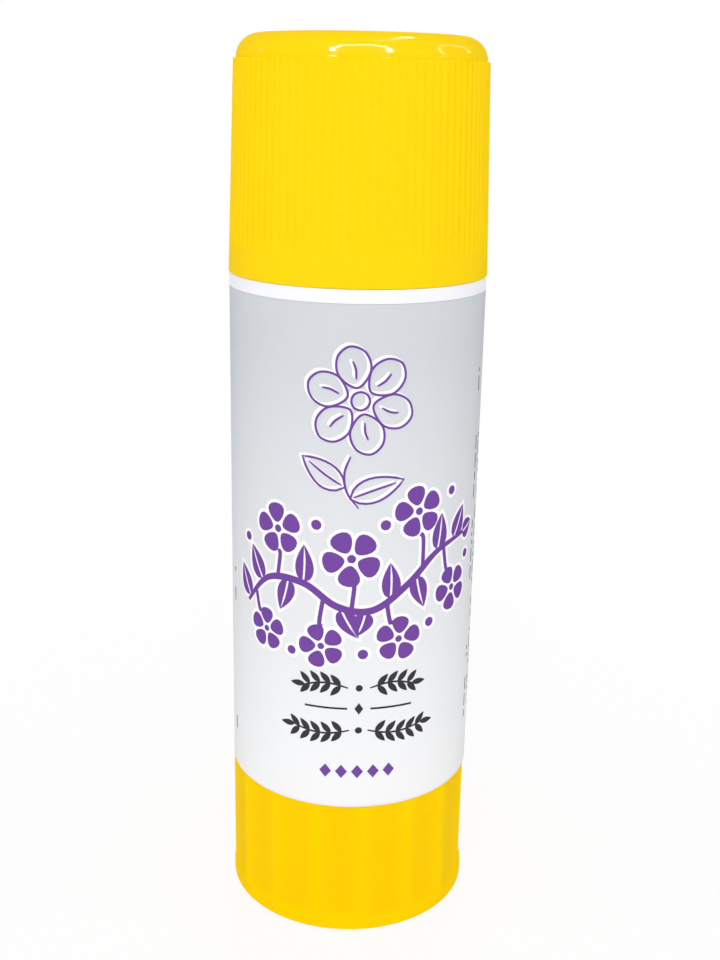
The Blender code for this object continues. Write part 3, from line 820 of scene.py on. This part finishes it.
glueSizes = {
    "grooveCount": 4,
    "grooveHalf": 1.15 * mm,
    "grooveFloor": 17.85 * mm,
    "steps": 44,  # to a quarter turn
    "edgeRound": 1.2 * mm,
    "crown": 0.4 * mm,
    "waves": ((3, 0.05 * mm, 0.4), (5, 0.03 * mm, 1.9), (8, 0.02 * mm, 0.9)),  # count, height, turn
    "waveGain": 4,
    "waveEnd": 0.93,  # share of the radius where the waves have faded out
    "dish": 0.06 * mm,  # how far the middle sinks
    "bore": 4.85 * mm,
    "boreTop": 127.0 * mm,
    "hub": 7.8 * mm,
    "hubTop": 48.3 * mm,
    "cup": 16.85 * mm,
    "cupTop": 44.3 * mm,
}


def makeGlue(size):
    quarter = math.tau / size["grooveCount"]
    half = size["grooveHalf"] / glueRadius
    fine = sorted(spread(-quarter / 2, quarter / 2, size["steps"]) + [-half, half])
    crown = glueHigh.z - size["crown"]

    def grooved(radius, z):
        return notched(fine, half, radius, min(radius, size["grooveFloor"]), z)

    rows = [grooved(glueRadius, z) for z in spread(size["cupTop"], crown - size["edgeRound"], 8)]
    edge = roundCorner(glueRadius - size["edgeRound"], crown - size["edgeRound"], size["edgeRound"], 15, 90, 5)
    rows += [grooved(r, z) for r, z in edge]
    for share in (0.8, 0.6, 0.4, 0.2):
        rows.append(level(fine, (glueRadius - size["edgeRound"]) * share, glueHigh.z - size["crown"] * share**2))
    inner = [
        (0, glueHigh.z),
        (0, size["boreTop"]),
        (size["bore"], size["boreTop"]),
        (size["bore"], size["hubTop"]),
        (size["hub"], size["hubTop"]),
        (size["hub"], glueLow.z),
        (size["cup"], glueLow.z),
        (size["cup"], size["cupTop"]),
    ]
    rows += levels(fine[::4] + [fine[-1]], inner)
    glue = turnedPiece("glueStick", rows, size["grooveCount"], glueWhite)
    # The cast top isn't quite even: slow waves run across it, and fade out at the edge
    for vertex in glue.data.vertices:
        if vertex.co.z < crown - 0.01 * mm:
            continue
        reach = vertex.co.xy.length / glueRadius
        turn = math.atan2(vertex.co.y, vertex.co.x)
        wave = sum(height * math.sin(count * turn + start) for count, height, start in size["waves"])
        fade = max(0.0, size["waveEnd"] - reach)
        vertex.co.z += wave * size["waveGain"] * reach * fade - size["dish"] * (1 - reach)
    smooth(glue, 32)
    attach(glue, "carrier")
    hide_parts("glue")


makeGlue(glueSizes)
print("glue made")


# Label

labelSizes = {
    "steps": 188,
    "seam": 0.35 * mm,
    "bandGap": 0.05 * mm,  # to the bands above and below it
    "sink": 0.02 * mm,  # below the bands
    "thickness": 0.15 * mm,
}
labelSkin = bodyRadius - labelSizes["sink"]


def makeLabel(size):
    # A film wrapped round the barrel from one side of its seam, at the back, to the other
    half = size["seam"] / 2 / bodyRadius
    angles = spread(math.pi / 2 + half, math.pi * 2.5 - half, size["steps"])
    low = bodyZ + barrelSizes["lowerBand"] + size["bandGap"]
    high = seatZ - barrelSizes["seatGap"] - barrelSizes["upperBand"] - size["bandGap"]
    inside = labelSkin - size["thickness"]
    rows = [level(angles, labelSkin, z) for z in spread(low, high, 8)]
    rows += [level(angles, inside, z) for z in (high, low)]
    label = sectorObject("labelWrap", rows)
    bm = bmesh.new()
    bm.from_mesh(label.data)
    bmesh.ops.holes_fill(bm, edges=[e for e in bm.edges if e.is_boundary])
    bmesh.ops.recalc_face_normals(bm, faces=bm.faces)
    bm.to_mesh(label.data)
    bm.free()
    label.data.materials.append(labelGrey)
    smooth(label, 30)
    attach(label, "barrel")
    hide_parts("label")


makeLabel(labelSizes)
print("label made")


# Print: flat shapes drawn in millimetres, x along the girth from the front and z up from the table


def leafShape(length, width, bend=0.0, fullness=0.75, steps=12):
    # A leaf or petal that grows from the origin up along z, with its tip bent sideways
    def at(t, side):
        half = width / 2 * math.sin(math.pi * t**fullness) ** 0.85
        return (bend * t * t + side * half, length * t)

    right = [at(t, 1) for t in spread(0, 1, steps)]
    left = [at(t, -1) for t in spread(1, 0, steps)]
    return right + left[1:-1]


def halfLeaves(length, width, bend, gap, fullness=0.75, steps=12):
    # The same leaf in two halves, parted by a gap along its rib
    halves = []
    for side in (-1, 1):
        edge, rib = [], []
        for t in spread(0.04, 1, steps):
            apart = side * gap / 2 * min(1.0, 3 * (1 - t))
            half = side * width / 2 * math.sin(math.pi * t**fullness) ** 0.85
            rib.append((bend * t * t + apart, length * t))
            edge.append((bend * t * t + side * max(abs(half), abs(apart)), length * t))
        halves.append(rib + edge[-2:0:-1])
    return halves


def petalShape(length, width, steps=16):
    # Round at the tip and narrow at the root
    shape = []
    for k in range(steps):
        turn = math.tau * k / steps
        t = 0.5 - 0.5 * math.cos(turn)
        shape.append((width / 2 * math.sin(turn) * (0.5 + 0.55 * t), length * t))
    return shape


def roundShape(radius, steps=14):
    turns = [math.tau * k / steps for k in range(steps)]
    return [(radius * math.cos(t), radius * math.sin(t)) for t in turns]


def diamondShape(halfWidth, halfHeight):
    return [(halfWidth, 0), (0, halfHeight), (-halfWidth, 0), (0, -halfHeight)]


def roundedBar(length, height):
    # A short bar with rounded ends, centred on the origin
    r = height / 2
    half = length / 2 - r
    right = [(half + r * math.cos(t), r * math.sin(t)) for t in spread(-math.pi / 2, math.pi / 2, 4)]
    return right + [(-x, -z) for x, z in right]


def placed(points, x, z, degrees=0.0):
    # Turned anticlockwise about the origin and then moved
    c, s = math.cos(math.radians(degrees)), math.sin(math.radians(degrees))
    return [(x + c * u - s * v, z + s * u + c * v) for u, v in points]


def grown(points, margin):
    # The same outline, wider by a margin all round
    count = len(points)
    wide = []
    for k in range(count):
        before, here, after = (Vector(points[(k + d) % count]) for d in (-1, 0, 1))
        first = (here - before).normalized()
        second = (after - here).normalized()
        first, second = Vector((first.y, -first.x)), Vector((second.y, -second.x))
        middle = (first + second).normalized()
        reach = margin / max(0.55, middle.dot(second))
        wide.append(tuple(here + middle * reach))
    return wide


def through(points, steps=8, closed=False):
    # A smooth line through the points
    count = len(points)
    spans = count if closed else count - 1
    line = []
    for k in range(spans):
        near = [points[(k + d) % count] if closed else points[min(max(k + d, 0), count - 1)] for d in (-1, 0, 1, 2)]
        a, b, c, d = (Vector(p) for p in near)
        for t in spread(0, 1, steps)[:-1]:
            square = (2 * a - 5 * b + 4 * c - d) * t**2
            cube = (3 * b - a - 3 * c + d) * t**3
            line.append(0.5 * (2 * b + (c - a) * t + square + cube))
    if not closed:
        line.append(Vector(points[-1]))
    return line


def penLine(line, width, closed=False, taper=0.0):
    # Small quads along a line. taper narrows its two ends
    count = len(line)
    sides = []
    for k in range(count):
        if closed:
            along = line[(k + 1) % count] - line[k - 1]
        else:
            along = line[min(k + 1, count - 1)] - line[max(k - 1, 0)]
        across = Vector((along.y, -along.x)).normalized()
        near = 1.0 if closed else min(1.0, 1 - taper + taper * 5 * min(k, count - 1 - k) / count)
        half = across * width / 2 * near
        sides.append((tuple(line[k] + half), tuple(line[k] - half)))
    if closed:
        sides.append(sides[0])
    return [[a[0], b[0], b[1], a[1]] for a, b in zip(sides, sides[1:])]


def inkPiece(name, shapes, look, finish):
    # Thin closed layers of ink: filled, cut into narrow columns so that they bend, and given their thickness
    bm = bmesh.new()
    for shape in shapes:
        area = sum(a[0] * b[1] - b[0] * a[1] for a, b in zip(shape, shape[1:] + shape[:1]))
        turned = shape if area > 0 else shape[::-1]
        bm.faces.new([bm.verts.new((x * mm, 0.0, z * mm)) for x, z in turned])
    bmesh.ops.remove_doubles(bm, verts=bm.verts, dist=weldReach)
    bmesh.ops.triangulate(bm, faces=bm.faces)
    reach = max(abs(v.co.x) for v in bm.verts)
    count = int(reach / look["column"])
    for k in range(-count, count + 1):
        parts = bm.verts[:] + bm.edges[:] + bm.faces[:]
        bmesh.ops.bisect_plane(bm, geom=parts, dist=1e-8, plane_co=(k * look["column"], 0, 0), plane_no=(1, 0, 0))
    top = bm.verts[:]
    bmesh.ops.extrude_face_region(bm, geom=bm.faces[:], use_keep_orig=True)
    for vertex in top:
        vertex.co.y = -look["thickness"]
    bmesh.ops.recalc_face_normals(bm, faces=bm.faces)
    piece = meshObject(name, bm)
    applyTree(piece, wrapRoundBarrel, {"Radius": look["radius"], "Finish": finish})
    smooth(piece, 35)
    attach(piece, "barrel")


inkSizes = {
    "white": {"radius": labelSkin + 0.008 * mm, "thickness": 0.014 * mm, "column": 1.1 * mm},
    "purple": {"radius": labelSkin + 0.014 * mm, "thickness": 0.022 * mm, "column": 1.1 * mm},
    "grey": {"radius": labelSkin + 0.008 * mm, "thickness": 0.016 * mm, "column": 1.1 * mm},
}
printSizes = {
    "seed": 11,
    "outline": 0.55,  # the white edge round the bold print
    "pen": 0.38,
    "twinShift": (-0.42, 0.34),  # from a purple line to its white one
    "twinPen": 0.56,
    "taper": 0.5,
    "diamond": (1.05, 1.3),
    "diamondPlaces": (-4.2, -1.4, 1.4, 4.2, 7.0),
    "diamondHeight": 32.3,
    # Columns of small dashes at the sides: place, lower end, upper end
    "sideColumns": (
        (27.8, 33.0, 102.0),
        (30.0, 40.0, 96.0),
        (32.2, 36.0, 84.0),
        (-27.4, 58.0, 64.5),
        (-27.4, 32.5, 37.5),
    ),
    "dashes": (0.8, 1.6, 2.6),
    "dashGap": 0.7,
    "dashPen": 0.36,
    "dashShare": 0.6,  # of the dashes that are printed
}
blossomSizes = {
    "centre": (0.8, 98.6),
    "petals": 6,
    "turn": 12,
    "petal": ((0.0, 2.2), (2.6, 4.6), (2.3, 7.6), (0.0, 9.0), (-2.3, 7.6), (-2.6, 4.6)),
    "vein": ((0.0, 3.6), (0.25, 5.2), (0.0, 6.6)),
    "heart": 1.5,
    "stem": ((-0.6, 89.4), (-1.6, 86.6), (-1.2, 83.4), (0.8, 80.6)),
    "leafWidth": 4.2,
    "leafBend": 0.8,
    # Leaves: place, turn, length
    "leaves": ((-1.5, 84.2, 62, 8.6), (-0.6, 82.2, -66, 9.4)),
}
garlandSizes = {
    "stem": (
        (-21.0, 60.6), (-15.5, 66.4), (-8.5, 66.8), (-2.5, 63.2), (3.5, 62.6), (9.5, 66.6), (15.5, 71.6), (22.8, 73.4),
    ),
    "stemPen": 1.25,
    "stalkPen": 0.75,
    "leafWidth": 3.4,
    "leafBend": 0.8,
    "ribGap": 0.36,
    # Leaves: point on the stem, turn, length
    "leaves": (
        (2, 34, 6.0), (8, 34, 6.4), (20, -8, 6.8), (16, 172, 6.2), (31, -158, 6.2), (38, 172, 4.6),
        (45, -6, 6.6), (53, -172, 6.2), (60, -14, 6.6), (65, -34, 6.2), (69, -82, 3.8),
    ),
    # Blossoms: place, radius, turn, point on the stem
    "blossoms": (
        (-13.4, 75.6, 4.5, 8, 13), (-0.2, 71.8, 5.0, 30, 34), (11.4, 79.4, 4.5, 12, 55), (-5.2, 55.8, 4.0, 20, 26),
        (8.2, 57.0, 4.1, -6, 44), (19.6, 64.0, 4.1, 26, 62), (-16.0, 56.8, 3.8, 0, 5),
    ),
    # Berries: place, radius
    "berries": (
        (-6.2, 77.4, 0.9), (-20.9, 72.4, 0.8), (5.4, 77.6, 0.9), (-10.6, 54.2, 0.8),
        (2.0, 54.6, 0.9), (14.2, 59.0, 0.85), (24.0, 69.0, 0.8), (18.6, 81.8, 0.8),
    ),
}
twigSizes = {
    "middle": 1.5,
    "pen": 0.36,
    "leafLength": 2.7,
    "leafWidth": 1.1,
    # Twigs on both sides of the middle: height, distance from the middle, length, pairs of leaves, arch
    "rows": ((48.3, 1.9, 7.6, 4, 0.8), (40.3, 1.6, 9.8, 5, -0.8)),
    "ruleHeight": 44.4,
    "rule": (2.0, 9.5),
    "dot": 0.62,
    "diamond": (0.75, 1.1),
    "leafTurns": (42, 138),
}


def drawBlossomLines(size):
    # The pen-drawn blossom on its stem, as lines that are closed or open
    lines = []
    centre = Vector(size["centre"])
    for k in range(size["petals"]):
        turn = 360 / size["petals"] * k + size["turn"]
        lines.append((through(placed(size["petal"], *centre, turn), 6, closed=True), True))
        lines.append((through(placed(size["vein"], *centre, turn), 3), False))
    heart = placed(roundShape(size["heart"], 8), *centre)
    lines.append((through(heart, 3, closed=True), True))
    lines.append((through(size["stem"], 6), False))
    for x, z, turn, length in size["leaves"]:
        leaf = placed(leafShape(length, size["leafWidth"], size["leafBend"], 0.8, 9), x, z, turn)
        lines.append(([Vector(p) for p in leaf], True))
        rib = placed([(0.0, 0.6), (0.2, length * 0.45), (0.7, length * 0.85)], x, z, turn)
        lines.append((through(rib, 4), False))
    return lines


def drawGarland(size, outline):
    # Bold leaves and blossoms along one bent stem, and the same shapes with their white edge
    stem = through(size["stem"], 10)
    purple, white = [], []
    for index, turn, length in size["leaves"]:
        bend = size["leafBend"] if turn > 0 else -size["leafBend"]
        for half in halfLeaves(length, size["leafWidth"], bend, size["ribGap"]):
            purple.append(placed(half, *stem[index], turn))
        white.append(grown(placed(leafShape(length, size["leafWidth"], bend), *stem[index], turn), outline))
    for x, z, radius, turn, index in size["blossoms"]:
        root, centre = stem[index], Vector((x, z))
        away = (centre - root).normalized()
        middle = (root + centre) / 2 + Vector((away.y, -away.x)) / 2
        stalk = through([root, middle, centre - away * (0.9 * radius)], 5)
        purple += penLine(stalk, size["stalkPen"])
        white += penLine(stalk, size["stalkPen"] + 2 * outline)
        petal = [(u, v + 0.24 * radius) for u, v in petalShape(0.76 * radius, 0.92 * radius)]
        petals = [placed(petal, x, z, turn + 72 * k) for k in range(5)]
        purple += petals + [placed(roundShape(0.15 * radius, 10), x, z)]
        white += [grown(shape, outline) for shape in petals]
    for x, z, radius in size["berries"]:
        purple.append(placed(roundShape(radius, 12), x, z))
        white.append(grown(purple[-1], outline))
    purple += penLine(stem, size["stemPen"], taper=0.5)
    white += penLine(stem, size["stemPen"] + 2 * outline, taper=0.4)
    return purple, white


def drawTwigs(size):
    # Mirrored rows of small leaved twigs, with a thin rule between them
    shapes = []
    leaf = leafShape(size["leafLength"], size["leafWidth"], 0.0, 0.85, 8)
    dot = roundShape(size["dot"], 12)
    for side in (-1, 1):
        for z, start, length, pairs, arch in size["rows"]:

            def at(share):
                return (size["middle"] + side * (start + length * share), z + arch * math.sin(math.pi * share))

            shapes += penLine([Vector(at(share)) for share in spread(0, 1, 12)], size["pen"], taper=0.3)
            for k in range(pairs):
                for turn in size["leafTurns"]:
                    shapes.append(placed(leaf, *at((k + 0.7) / (pairs + 0.2)), -side * turn))
            shapes.append(placed(leaf, *at(1.0), -side * 90))
        ends = [Vector((size["middle"] + side * x, size["ruleHeight"])) for x in spread(*size["rule"], 6)]
        shapes += penLine(ends, size["pen"])
    shapes += [placed(dot, size["middle"], row[0]) for row in size["rows"]]
    shapes.append(placed(diamondShape(*size["diamond"]), size["middle"], size["ruleHeight"]))
    return shapes


def makePrint(size):
    rng = random.Random(size["seed"])
    purple, white = drawGarland(garlandSizes, size["outline"])
    grey = drawTwigs(twigSizes)
    shift = Vector(size["twinShift"])
    for line, closed in drawBlossomLines(blossomSizes):
        purple += penLine(line, size["pen"], closed, size["taper"])
        white += penLine([p + shift for p in line], size["twinPen"], closed, size["taper"])
    for x in size["diamondPlaces"]:
        purple.append(placed(diamondShape(*size["diamond"]), x, size["diamondHeight"]))
    for x, low, high in size["sideColumns"]:
        z = low
        while z < high - size["dashes"][0]:
            length = min(rng.choice(size["dashes"]), high - z)
            if rng.random() < size["dashShare"]:
                grey.append(placed(roundedBar(length, size["dashPen"]), x, z + length / 2, 90))
            z += length + size["dashGap"]
    inkPiece("printWhite", white, inkSizes["white"], inkWhite)
    inkPiece("printPurple", purple, inkSizes["purple"], inkPurple)
    inkPiece("printGrey", grey, inkSizes["grey"], inkGrey)


makePrint(printSizes)
print("print made")

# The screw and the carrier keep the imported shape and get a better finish
for node in ("spindle", "carrier"):
    for slot in nodes[node].material_slots:
        slot.material = innerWhite


# Stage: a white floor that keeps a faint shadow, under a white world

stageSizes = {
    "floor": 3.0,
    "floorColour": (0.93, 0.93, 0.93, 1.0),
    "nearWhite": 0.86,  # how much of the floor shows as plain white beside the stick, and far from it
    "farWhite": 1.0,
    "near": 0.03,
    "far": 0.25,
    "drop": 0.2 * mm,  # below the foot
    "worldLight": 0.47,
}


def seesWhite(tree):
    # 1 for the rays that show the background: straight, mirrored and through clear plastic
    path = tree.nodes.new("ShaderNodeLightPath")
    share = mathNode(tree, "MAXIMUM", path.outputs["Is Camera Ray"], path.outputs["Is Glossy Ray"])
    return mathNode(tree, "MAXIMUM", share, path.outputs["Is Transmission Ray"])


def makeFloor(size):
    plain = {"Base Color": size["floorColour"], "Roughness": 0.9, "Specular IOR Level": 0.0}
    material, tree, shader = newMaterial("floorWhite", plain)
    length = addNode(tree, "ShaderNodeVectorMath", {0: objectPlace(tree)}, operation="LENGTH")
    reach = {"Value": length.outputs["Value"], "From Min": size["near"], "From Max": size["far"]}
    whites = {"To Min": size["nearWhite"], "To Max": size["farWhite"]}
    ramp = addNode(tree, "ShaderNodeMapRange", {**reach, **whites}, interpolation_type="SMOOTHSTEP")
    share = mathNode(tree, "MULTIPLY", seesWhite(tree), ramp.outputs["Result"])
    glow = addNode(tree, "ShaderNodeEmission", {"Color": (1, 1, 1, 1)})
    both = addNode(tree, "ShaderNodeMixShader", {0: share, 1: shader.outputs[0], 2: glow.outputs[0]})
    tree.links.new(both.outputs[0], tree.nodes["Material Output"].inputs["Surface"])
    bm = bmesh.new()
    bmesh.ops.create_grid(bm, x_segments=2, y_segments=2, size=size["floor"])
    bmesh.ops.translate(bm, verts=bm.verts, vec=(0, 0, -size["drop"]))
    floor = meshObject("floor", bm)
    floor.data.materials.append(material)


def makeWorld(diffuse):
    # White where it is seen, and dimmer where it lights the object
    world = bpy.data.worlds.new("studioWhite")
    world.use_nodes = True
    tree = world.node_tree
    background = tree.nodes["Background"]
    background.inputs["Color"].default_value = (1, 1, 1, 1)
    extra = mathNode(tree, "MULTIPLY", seesWhite(tree), 1.0 - diffuse)
    tree.links.new(mathNode(tree, "ADD", extra, diffuse), background.inputs["Strength"])
    bpy.context.scene.world = world


lampSizes = {
    "front": {"place": (-0.05, -1.3, 0.75), "size": 0.9, "power": 9.8},
    "left": {"place": (-1.3, -0.25, 0.6), "size": 0.8, "power": 2.4},
    "right": {"place": (1.3, -0.25, 0.6), "size": 0.8, "power": 2.2},
    "top": {"place": (0.0, -0.4, 1.5), "size": 0.9, "power": 2.2},
    "back": {"place": (0.1, 1.3, 0.6), "size": 0.9, "power": 7.0},
}
lampAim = Vector((0, 0, 0.08))
glintReach = 0.5  # from the cap's top to each ring
glintSteps = 40
glintSizes = {
    # Studio rings that only show as highlights. Azimuth from the front and elevation, as seen from the cap's top, the
    # ring's middle radius, its widths at its top and its ends, the degrees of it on each side of its top, its strength
    "front": (-1, 30, 0.216, 0.032, 0.06, 106, 100.0),
    "right": (98, 23, 0.165, 0.022, 0.04, 112, 18.0),
    "back": (132, 66, 0.015, 0.03, 0.03, 180, 120.0),
    "streak": (-92, 88, 0.17, 0.02, 0.01, 50, 30.0),
    "left": (-105, 17, 0.012, 0.024, 0.024, 180, 16.0),
}


def makeLamp(name, lamp):
    light = bpy.data.lights.new(name, "AREA")
    light.shape = "DISK"
    light.size = lamp["size"]
    light.energy = lamp["power"]
    holder = newObject(name, light)
    holder.location = lamp["place"]
    aim = lampAim - Vector(lamp["place"])
    holder.rotation_euler = aim.to_track_quat("-Z", "Y").to_euler()
    holder.visible_camera = False
    holder.visible_glossy = False


def makeGlint(name, glint):
    azimuth, elevation, radius, topWidth, endWidth, half, strength = glint
    material = bpy.data.materials.new(name)
    material.use_nodes = True
    tree = material.node_tree
    tree.nodes.remove(tree.nodes["Principled BSDF"])
    glow = addNode(tree, "ShaderNodeEmission", {"Strength": strength})
    tree.links.new(glow.outputs[0], tree.nodes["Material Output"].inputs["Surface"])
    bm = bmesh.new()
    sides = []
    for side in (-0.5, 0.5):
        sides.append([])
        for share in spread(-1, 1, glintSteps):
            turn = math.radians(90 + share * half)
            reach = radius + side * (topWidth + (endWidth - topWidth) * abs(share) ** 3)
            sides[-1].append(bm.verts.new((reach * math.cos(turn), reach * math.sin(turn), 0)))
    for k in range(glintSteps):
        bm.faces.new((sides[0][k], sides[1][k], sides[1][k + 1], sides[0][k + 1]))
    bmesh.ops.remove_doubles(bm, verts=bm.verts, dist=weldReach)
    # The way from the cap's top to the ring, which faces back along it
    azimuth, elevation = math.radians(azimuth), math.radians(elevation)
    across = math.cos(elevation)
    way = Vector((math.sin(azimuth) * across, -math.cos(azimuth) * across, math.sin(elevation)))
    turn = way.to_track_quat("Z", "Y").to_matrix().to_4x4()
    place = Matrix.Translation(Vector((0, 0, capHigh.z)) + way * glintReach)
    bmesh.ops.transform(bm, matrix=place @ turn, verts=bm.verts)
    ring = meshObject(name, bm)
    ring.data.materials.append(material)
    for seen in ("visible_camera", "visible_diffuse", "visible_shadow", "visible_transmission"):
        setattr(ring, seen, False)


makeFloor(stageSizes)
makeWorld(stageSizes["worldLight"])
for name, lamp in lampSizes.items():
    makeLamp(name + "Lamp", lamp)
for name, glint in glintSizes.items():
    makeGlint(name + "Glint", glint)
print("stage and lamps made")

# Camera, fitted to the outlines in the photograph

cameraSizes = {
    "place": (0.0, -0.21965, 0.14605),
    "yaw": -0.00473,
    "pitch": -0.29723,
    "roll": -0.01949,
    "lens": 47.81,
}


def makeCamera(size):
    turn = Matrix.Rotation(size["yaw"], 3, "Z") @ Matrix.Rotation(size["pitch"], 3, "X")
    turn = turn @ Matrix.Rotation(size["roll"], 3, "Y")
    # The turn is for a frame that looks along +Y, and Blender's camera looks along -Z
    turn = turn @ Matrix(((1, 0, 0), (0, 0, -1), (0, 1, 0)))
    data = bpy.data.cameras.new("camera")
    data.lens = size["lens"]
    data.sensor_width = 36
    data.sensor_fit = "AUTO"
    data.clip_start = 0.01
    data.clip_end = 50
    camera = newObject("camera", data)
    camera.matrix_world = Matrix.Translation(size["place"]) @ turn.to_4x4()
    bpy.context.scene.camera = camera


makeCamera(cameraSizes)
bpy.context.scene.view_settings.view_transform = "Standard"

print("scene made")
